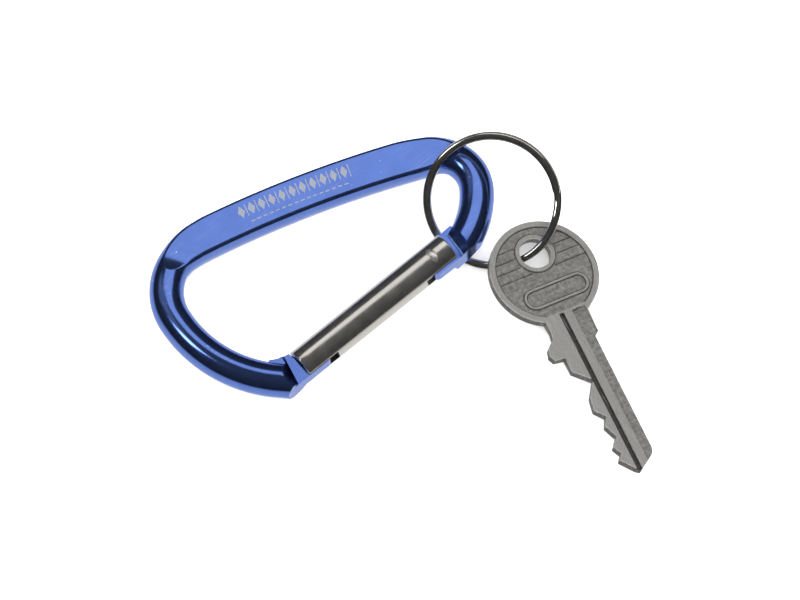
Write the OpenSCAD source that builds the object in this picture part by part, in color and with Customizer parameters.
// Carabiner keyring: a bent-bar snap hook with a sprung tubular gate, a split ring and one key.
// The clip lies on its back with its small end propped on the ring wire. Lengths are in millimetres.
// Three frames are used. The clip's own frame has +X along the gate from nose to hinge, +Y towards
// the spine and the bar's centre line in Z = 0. The ring's own frame has +Z along the ring's axis.
// The key's own frame has +X towards the tip, with the underside in Z = 0.

/* [Bar] */
// Diameter of the round bar
bar_d = 7; // [6.4:0.1:7.2]
// Bend radius of the nose arm
nose_arm_r = 27.6; // [27:0.2:28]
// Turn of the nose arm, degrees
nose_arm_turn = 53.2; // [53:0.1:53.4]
// Bend radius of the big end
big_bend_r = 11.7; // [11.4:0.1:12]
// Turn of the big end, degrees
big_bend_turn = 93.5; // [93:0.1:94]
// Bend radius of the slightly bowed spine
spine_r = 235; // [230:1:240]
// Turn of the spine, degrees
spine_turn = 11.9; // [11.8:0.1:12]
// Bend radius of the small end
small_bend_r = 8.2; // [8:0.1:8.4]
// Turn of the small end, degrees
small_bend_turn = 102.3; // [102:0.1:102.6]
// Bend radius of the hinge arm
hinge_arm_r = 19.5; // [19:0.1:20]
// Turn of the hinge arm, degrees
hinge_arm_turn = 33; // [32:0.5:34]

/* [Pressed spine] */
// Thickness of the bar where its faces are pressed flat
pressed_t = 5.2; // [5:0.1:5.6]
// Width of the bar where it is pressed
pressed_w = 8.4; // [8:0.1:8.6]
// Radius of the concave run-out at each end of the flat
runout_r = 9; // [8:0.5:10]
// Turn of each bend beside the spine that the flat runs on over, degrees
runout_turn = 26.5; // [24:0.5:28]

/* [Tongues] */
// Thickness of the flat tongues at both ends of the bar
tongue_t = 3; // [2.8:0.1:3.1]
// Reach of the nose tongue into the gate
nose_reach = 5.9; // [5:0.1:6.4]
// Width of the tongues inside the gate, above the gate's axis
tongue_up = 1.9; // [1.6:0.1:2]
// Distance from the gate's axis to the outer edge of the hinge tongue
tongue_out = 3.6; // [3.4:0.1:3.7]
// How much narrower the nose tongue is on its outer side
nose_step = 0.4; // [0.2:0.1:0.6]

/* [Gate] */
// Outer diameter of the gate tube
gate_d = 7; // [6.8:0.1:7]
// Wall of the gate tube
gate_wall = 0.8; // [0.7:0.05:0.85]
// Length of the gate tube
gate_len = 38.5; // [38:0.1:38.6]
// Distance from the gate's nose end to the pivot
pivot_x = 34.5; // [34.4:0.1:34.6]
// Width of the slots that straddle the tongues
slot_w = 3.4; // [3.3:0.05:3.5]
// Length of the nose slot
nose_slot = 7.4; // [7:0.1:8]
// Diameter of the pivot rivet's shank
rivet_d = 2; // [1.8:0.1:2.2]
// Diameter of the pivot rivet's heads
rivet_head_d = 3.2; // [3:0.1:3.4]

/* [Return spring] */
// Distance from the pivot to the tongue's end face when the gate is shut
cam_d = 2; // [1.9:0.05:2.1]
// Lever arm of the cam, the plunger's travel per radian
cam_arm = 1; // [0.8:0.05:1.1]
// Diameter of the plunger
plunger_d = 5.2; // [5:0.05:5.3]
// Thickness of the plunger's head
plunger_head = 3; // [2.5:0.1:3.5]
// Mean diameter of the spring
spring_d = 4.3; // [4:0.1:4.4]
// Diameter of the spring wire
spring_wire = 0.55; // [0.45:0.05:0.6]
// Turns of the spring
spring_turns = 9; // [7:1:10]
// Place of the crimp that the spring pushes on, from the gate's nose end
crimp_x = 15; // [14:0.5:16]

/* [Split ring] */
// Outer diameter of the split ring
ring_d = 28; // [27.8:0.1:28.2]
// Width of the ring's wire across the ring
ring_wire_w = 1.6; // [1.4:0.05:1.7]
// Thickness of each of the ring's two turns
ring_wire_t = 0.97; // [0.9:0.01:0.98]
// Distance between the middles of the two turns
ring_pitch = 1; // [1:0.005:1.02]
// Length of the cross-over between the turns, degrees
ring_jog = 26; // [20:1:35]

/* [Key] */
// Thickness of the key
key_t = 2; // [1.9:0.05:2.05]
// Diameter of the key's bow
bow_d = 22.5; // [22:0.1:22.8]
// Diameter of the hole in the bow
key_hole_d = 6.6; // [6.5:0.05:6.7]
// Width of the blade
blade_w = 8.1; // [8:0.1:8.2]
// Distance from the bow's middle to the blade's tip
key_tip_x = 46.3; // [45:0.1:47]
// Depth of the sunk faces of the bow
bow_sink = 0.25; // [0.15:0.05:0.3]

/* [Hidden] */
$fn = 64;

// Middle of the part's footprint, with the height of its lowest point: the part's origin
footprint = [20.125, 12.821, -0.044];
// Places and tilts of the three groups on the surface they lie on
clip_at = [0, -0.345, 4.313];
clip_heading = 39.84;
clip_rise = 3.6;
ring_at = [38.48, 33.815, 8.396];
ring_heading = -14.78;
ring_lean = 33.46;
ring_start = 21;
key_at = [48.484, 19.907, 2.652];
key_roll = -12.57;
key_pitch = 3.1;
key_heading = -62.1;

bar_r = bar_d / 2;
half_t = tongue_t / 2;
gate_r = gate_d / 2;
bore_r = gate_r - gate_wall;
gate_y = -0.15;
pivot = [pivot_x, gate_y];
rivet_slack = 0.05;
head_seat = 3.05;
face_gap = 0.02;
big = 30;

// The bar's centre line: each leg is a tangent arc that turns right, as [radius, turn]
legs = [
    [nose_arm_r, nose_arm_turn],
    [big_bend_r, big_bend_turn],
    [spine_r, spine_turn],
    [small_bend_r, small_bend_turn],
    [hinge_arm_r, hinge_arm_turn]
];
bar_start = [-5.2, 0.46];
start_heading = 134;
NOSE_ARM = 0;
BIG_BEND = 1;
SPINE = 2;
SMALL_BEND = 3;
HINGE_ARM = 4;
press_margin = 1.5;
// Inner outline of the swelling between the round bar and the nose tongue
nose_swell = [[-0.3, 3], [-2.7, 3.5], [-4.3, 4.4]];
hair = 0.01;
bend_lap = 0.1;

function arc_centre(p, heading, r) = p + r * [sin(heading), -cos(heading)];
function arc_end(p, heading, leg) =
    arc_centre(p, heading, leg[0]) + leg[0] * [-sin(heading - leg[1]), cos(heading - leg[1])];
function heading_at(i) = i == 0 ? start_heading : heading_at(i - 1) - legs[i - 1][1];
function point_at(i) = i == 0 ? bar_start : arc_end(point_at(i - 1), heading_at(i - 1), legs[i - 1]);
// Point across leg i where the centre line has the given heading, so far outside that line
function bend_point(i, heading, outside) =
    arc_centre(point_at(i), heading_at(i), legs[i][0]) + (legs[i][0] + outside) * [-sin(heading), cos(heading)];

module clip_frame() {
    translate(clip_at - footprint) rotate([0, -clip_rise, clip_heading]) children();
}

module ring_frame() {
    translate(ring_at - footprint) rotate([ring_lean, 0, ring_heading]) children();
}

module key_frame() {
    translate(key_at - footprint) rotate([key_roll, key_pitch, key_heading]) children();
}

// Sweeps a section along leg i of the centre line, leaving out a turn at each end
module along_leg(i, cut_start = 0, cut_end = 0) {
    r = legs[i][0];
    c = arc_centre(point_at(i), heading_at(i), r);
    turn = legs[i][1] - cut_start - cut_end;
    translate([c.x, c.y, 0])
        rotate(90 + heading_at(i) - cut_start - turn)
            rotate_extrude(angle = turn, $fn = 96) translate([r, 0]) children();
}

// ---- frame ----

// The bends are drawn a hair thinner than the arms, and their ends run a little way into them
module bar_before_pressing() {
    rest = spine_turn - press_margin - bend_lap;
    for (i = [BIG_BEND, SMALL_BEND]) along_leg(i, -bend_lap, -bend_lap) circle(d = bar_d - 2 * hair);
    along_leg(SPINE, 0, rest) circle(d = bar_d);
    along_leg(SPINE, rest, 0) circle(d = bar_d);
}

module round_arms() {
    for (i = [NOSE_ARM, HINGE_ARM]) along_leg(i) circle(d = bar_d);
}

// The stretch of the spine that the press flattened and widened
module pressed_spine() {
    along_leg(SPINE, press_margin, press_margin) intersection() {
        circle(d = pressed_w + 0.6);
        square([pressed_w, pressed_t], center = true);
    }
}

// Stock that the press pushes away above and below: a flat between two lines across the bends, with
// a scooped run-out along each line
module press_die() {
    dip = 0.1;
    floor_z = pressed_t / 2 - hair;
    lines = [[BIG_BEND, heading_at(SPINE) + runout_turn], [SMALL_BEND, heading_at(SMALL_BEND) - runout_turn]];
    ends = [for (line = lines) for (side = [-1, 1]) bend_point(line[0], line[1], side * bar_d)];
    for (side = [0, 1]) mirror([0, 0, side]) {
        translate([0, 0, floor_z]) linear_extrude(bar_d) polygon([ends[0], ends[1], ends[3], ends[2]]);
        for (line = lines) {
            start = bend_point(line[0], line[1], -bar_d);
            translate([start.x, start.y, floor_z + runout_r - dip]) rotate([0, 90, line[1] + 90])
                cylinder(r = runout_r, h = 2 * bar_d, $fn = 96);
        }
    }
}

// Round stock that carries the bar on, in line with its end, to the sharp outer corner of the nose
module nose_stub() {
    translate([bar_start.x, bar_start.y, 0]) rotate([0, 90, start_heading - 180])
        translate([0, 0, -0.1]) cylinder(d = bar_d - 2 * hair, h = 8);
}

// Stock that fills the inner corner between the round bar and the nose tongue
module nose_filling() {
    linear_extrude(4, center = true) polygon(concat(nose_swell, [[-7, 2], [-4, -1]]));
}

module hinge_stub() {
    p = point_at(len(legs));
    translate([p.x, p.y, 0]) rotate([0, 90, heading_at(len(legs))])
        translate([0, 0, -0.1]) cylinder(d = bar_d - 2 * hair, h = 5);
}

// Everything beyond the tongues' outer edge, and the stock that a forging die squeezes away
module nose_relief() {
    lean = 13.5;
    slope = 44;
    foot = [-2, 0.6];
    for (side = [0, 1]) mirror([0, 0, side])
        translate([foot.x, foot.y, half_t]) rotate(-lean) {
            translate([0, -big / 2, 0]) cube([big, big, bar_d]);
            rotate([0, slope, 0]) translate([-big / 2, -big / 2, 0]) cube([big / 2, big, bar_d]);
        }
}

module hinge_relief() {
    foot_x = 39.65;
    lean = 5;
    scoop_r = 2.4;
    dip = 0.06;
    for (side = [0, 1]) mirror([0, 0, side])
        translate([foot_x, 0, half_t]) rotate(-lean) {
            translate([-big, -big / 2, 0]) cube([big, big, bar_d]);
            translate([0, big / 2, scoop_r - dip]) rotate([90, 0, 0]) cylinder(r = scoop_r, h = big);
        }
}

// The bar's outer side, cut off level with the hinge tongue and a little steeper at the nose
module trim_outer_edge() {
    edge = gate_y - tongue_out - hair;
    nose_corner = [-5.3, -3.6];
    nose_slope = 10.5;
    translate([0, edge - big, -bar_d]) cube([2 * big, big, 2 * bar_d]);
    translate([nose_corner.x, nose_corner.y, -bar_d]) rotate(nose_slope)
        translate([-big / 2, -big, 0]) cube([big, big, 2 * bar_d]);
}

module nose_tongue() {
    out = gate_y - tongue_out + nose_step;
    up = gate_y + tongue_up;
    corner = 1.2;
    linear_extrude(tongue_t, center = true)
        polygon(concat(
            [[-4.8, out]],
            [for (a = [-90 : 15 : 0]) [nose_reach - corner, out + corner] + corner * [cos(a), sin(a)]],
            [for (a = [0 : 15 : 90]) [nose_reach - corner, up - corner] + corner * [cos(a), sin(a)]],
            [[nose_swell[0].x, up]],
            nose_swell,
            [[-6, 0.5]]
        ));
}

// Outline of the hinge tongue's end: its support distance grows by cam_arm for each radian, so the
// flat plunger is pushed back in proportion to the gate's angle
function cam_point(turn) =
    let (h = cam_d - face_gap + cam_arm * turn * PI / 180)
    [-h * cos(turn) + cam_arm * sin(turn), h * sin(turn) + cam_arm * cos(turn)];

module hinge_tongue() {
    out = -tongue_out;
    corner = 1.2;
    neck = 8.2;
    inner_edge = 2.8;
    foot = [corner - cam_d + face_gap, out + corner];
    translate([pivot.x, pivot.y, 0]) difference() {
        linear_extrude(tongue_t, center = true)
            polygon(concat(
                [[neck, out]],
                [for (t = [270 : -15 : 180]) foot + corner * [cos(t), sin(t)]],
                [for (t = [0 : 3 : 42]) cam_point(t)],
                [[1.2, inner_edge], [neck - 1, inner_edge + 0.2]]
            ));
        cylinder(d = rivet_d + 2 * rivet_slack, h = big, center = true);
    }
}

module frame() {
    color("royalblue") clip_frame() {
        difference() {
            union() {
                difference() {
                    bar_before_pressing();
                    press_die();
                }
                round_arms();
                pressed_spine();
                nose_stub();
                nose_filling();
                hinge_stub();
            }
            nose_relief();
            hinge_relief();
            trim_outer_edge();
        }
        nose_tongue();
        hinge_tongue();
    }
}

// ---- gate ----

module along_gate(x) {
    translate([x, gate_y, 0]) rotate([0, 90, 0]) children();
}

module gate_slots() {
    inner_notch = 2.4;
    outer_slot = 4;
    // Slots through the outer wall at the nose and at the hinge
    translate([-1, gate_y - gate_d, -slot_w / 2]) cube([nose_slot + 1, gate_d, slot_w]);
    translate([pivot_x - outer_slot, gate_y - gate_d, -slot_w / 2])
        cube([gate_len - pivot_x + outer_slot + 1, gate_d, slot_w]);
    // Notch through the inner wall, where the tongue swings out as the gate opens
    translate([pivot_x - inner_notch, gate_y, -slot_w / 2])
        cube([gate_len - pivot_x + inner_notch + 1, gate_d, slot_w]);
}

// Dimples pressed into the tube's inner side, which hold the spring's far end
module crimps() {
    dimple_r = 1;
    for (side = [-1, 1]) translate([crimp_x - dimple_r - 0.1, gate_y, side * bore_r])
        cylinder(r = dimple_r, h = 1, center = true);
}

module crimp_pits() {
    pit_r = 0.55;
    for (side = [-1, 1])
        translate([crimp_x - 1.1, gate_y, side * gate_r]) cylinder(r = pit_r, h = 1, center = true);
}

module gate_tube() {
    color("silver") clip_frame() difference() {
        union() {
            difference() {
                along_gate(0) cylinder(d = gate_d, h = gate_len);
                along_gate(-1) cylinder(r = bore_r, h = gate_len + 2);
            }
            crimps();
        }
        gate_slots();
        crimp_pits();
        translate([pivot.x, pivot.y, 0]) {
            cylinder(d = rivet_d, h = big, center = true);
            for (side = [0, 1]) mirror([0, 0, side])
                translate([0, 0, head_seat]) cylinder(d = rivet_head_d, h = gate_r);
        }
    }
}

module pivot_rivet() {
    head_h = 0.75;
    color("lightgray") clip_frame() translate([pivot.x, pivot.y, 0]) {
        cylinder(d = rivet_d, h = 2 * head_seat + 0.2, center = true);
        for (side = [0, 1]) mirror([0, 0, side]) translate([0, 0, head_seat])
            rotate_extrude() intersection() {
                translate([0, head_h - 2.2]) circle(r = 2.2);
                square([rivet_head_d / 2, head_h]);
            }
    }
}

module plunger() {
    guide_d = 2.6;
    guide_len = 5;
    face_x = pivot_x - cam_d;
    color("dimgray") clip_frame() {
        along_gate(face_x - plunger_head) cylinder(d = plunger_d, h = plunger_head);
        along_gate(face_x - plunger_head - guide_len) cylinder(d = guide_d, h = guide_len + 0.1);
    }
}

// ---- swept wires ----

// Skins a closed tube over rings of points, each ring in the same order
module skin(rings) {
    n = len(rings[0]);
    last = len(rings) - 1;
    polyhedron(
        points = [for (ring = rings) each ring],
        faces = concat(
            [[for (k = [0 : n - 1]) k]],
            [for (i = [0 : last - 1]) for (k = [0 : n - 1])
                let (j = (k + 1) % n) each [
                    [i * n + k, (i + 1) * n + j, i * n + j],
                    [i * n + k, (i + 1) * n + k, (i + 1) * n + j]
                ]],
            [[for (k = [n - 1 : -1 : 0]) last * n + k]]
        )
    );
}

// Spring coiled about Z, with closed turns at both ends
module spring_coil(length) {
    steps = 18;
    count = spring_turns * steps;
    sides = 8;
    span = length - spring_wire;
    close = spring_wire * 1.05;
    function rise(turn) =
        turn < 1 ? close * turn :
        turn > spring_turns - 1 ? span - close * (spring_turns - turn) :
        close + (span - 2 * close) * (turn - 1) / (spring_turns - 2);
    skin([for (i = [0 : count])
        let (turn = i / steps, a = 360 * turn)
        [for (k = [0 : sides - 1])
            let (b = -360 * k / sides, r = spring_d / 2 + spring_wire / 2 * cos(b))
            [r * cos(a), r * sin(a), spring_wire / 2 + rise(turn) + spring_wire / 2 * sin(b)]]]);
}

module spring() {
    head_back = pivot_x - cam_d - plunger_head;
    gap = 0.05;
    color("gray") clip_frame() along_gate(crimp_x + gap) spring_coil(head_back - crimp_x - 2 * gap);
}

// ---- split ring ----

// One wire of two turns: it starts in the upper turn, crosses over, and ends in the lower turn
module split_ring() {
    step = 5;
    end_gap = 2;
    total = 720 - ring_jog - end_gap;
    round_r = 0.3;
    mid_r = (ring_d - ring_wire_w) / 2;
    w = ring_wire_w / 2 - round_r;
    t = ring_wire_t / 2 - round_r;
    section = [
        for (q = [[w, -t, 0], [-w, -t, -90], [-w, t, -180], [w, t, -270]])
            for (a = [0, -45, -90]) [q.x + round_r * cos(q.z + a), q.y + round_r * sin(q.z + a)]
    ];
    function layer(a) =
        a < 360 - ring_jog ? ring_pitch / 2 :
        a > 360 ? -ring_pitch / 2 :
        ring_pitch / 2 * cos(180 * (a - 360 + ring_jog) / ring_jog);
    color("dimgray") ring_frame() rotate(ring_start)
        skin([for (i = [0 : ceil(total / step)])
            let (a = min(i * step, total))
            [for (p = section) [(mid_r + p.x) * cos(a), (mid_r + p.x) * sin(a), layer(a) + p.y]]]);
}

// ---- key ----

key_hole_at = [-4.39, 0.24];
blade_from = 14;
blade_turn = -2.6;
rim = 1.3;
back_y = 3.1;
tooth_y = back_y - blade_w;

// Each cut of the bitting as [distance from the bow's middle, depth from the uncut edge]
bitting = [[24.9, 3.3], [28.2, 1], [31.2, 0.5], [33.1, 2.2], [35.1, 1.1], [37.8, 2.3],
    [39.8, 0.6], [41.5, 1.5], [42.8, 0.5], [45.6, 2.9]];

module blade_outline() {
    translate([blade_from, 0]) rotate(blade_turn) translate([-blade_from, 0])
        polygon(concat(
            [[8, back_y + 1.2], [8, -5.5], [12.6, -5.2], [14, -5.5], [15.6, -7.3], [17.3, -7.8], [18.5, -7.2],
                [18.7, tooth_y], [21.9, tooth_y]],
            [for (c = bitting) [c.x, tooth_y + c.y]],
            [[key_tip_x, -1.2], [43.6, back_y - 0.4], [42.5, back_y], [16.1, back_y], [15.6, back_y + 0.9]]
        ));
}

// Faces of the bow sunk between the rim, the collar of the hole and the frame of the name panel
module bow_field() {
    collar = 0.8;
    panel = [14.4, 4.4];
    panel_at = [4.67, 0.3];
    frame_w = 0.45;
    difference() {
        circle(d = bow_d - 2 * rim);
        translate(key_hole_at) circle(d = key_hole_d + 2 * collar);
        translate([bow_d / 2 - 2.2, -bow_d / 2]) square([5, bow_d]);
        translate(panel_at) difference() {
            pill(panel.y, panel.x);
            pill(panel.y - 2 * frame_w, panel.x - 2 * frame_w);
        }
    }
}

module pill(w, l) {
    square([w, l - w], center = true);
    for (side = [-1, 1]) translate([0, side * (l - w) / 2]) circle(d = w);
}

// Lines cut across the bow beside the hole, from rim to rim
module bow_lines() {
    pitch = 2.12;
    first_x = -7;
    line_w = 0.3;
    for (i = [0 : 3]) intersection() {
        difference() {
            circle(d = bow_d - 2 * rim);
            translate(key_hole_at) circle(d = key_hole_d + 2.2);
        }
        translate([first_x + i * pitch, 0]) square([line_w, bow_d], center = true);
    }
}

// Warding grooves milled along the blade, one from each face
module blade_grooves() {
    run = 40;
    translate([blade_from, 0, 0]) rotate(blade_turn) translate([-blade_from, 0, 0]) {
        translate([9.5, -2, key_t - 0.7]) cube([run, 1.1, 1]);
        translate([9.5, 0.9, key_t - 0.35]) cube([run, 3, 1]);
        translate([12.5, -0.6, -1]) cube([run, 1.4, 1.7]);
    }
}

module key() {
    color("darkgray") key_frame() difference() {
        union() {
            cylinder(d = bow_d, h = key_t, $fn = 96);
            linear_extrude(key_t) blade_outline();
        }
        translate([key_hole_at.x, key_hole_at.y, -1]) cylinder(d = key_hole_d, h = key_t + 2);
        for (z = [-1, key_t - bow_sink]) translate([0, 0, z])
            linear_extrude(z < 0 ? 1 + bow_sink : 1) bow_field();
        for (z = [-1, key_t - bow_sink - 0.15]) translate([0, 0, z])
            linear_extrude(z < 0 ? 1.15 + bow_sink : 1) bow_lines();
        blade_grooves();
    }
}

frame();
gate_tube();
pivot_rivet();
plunger();
spring();
split_ring();
key();
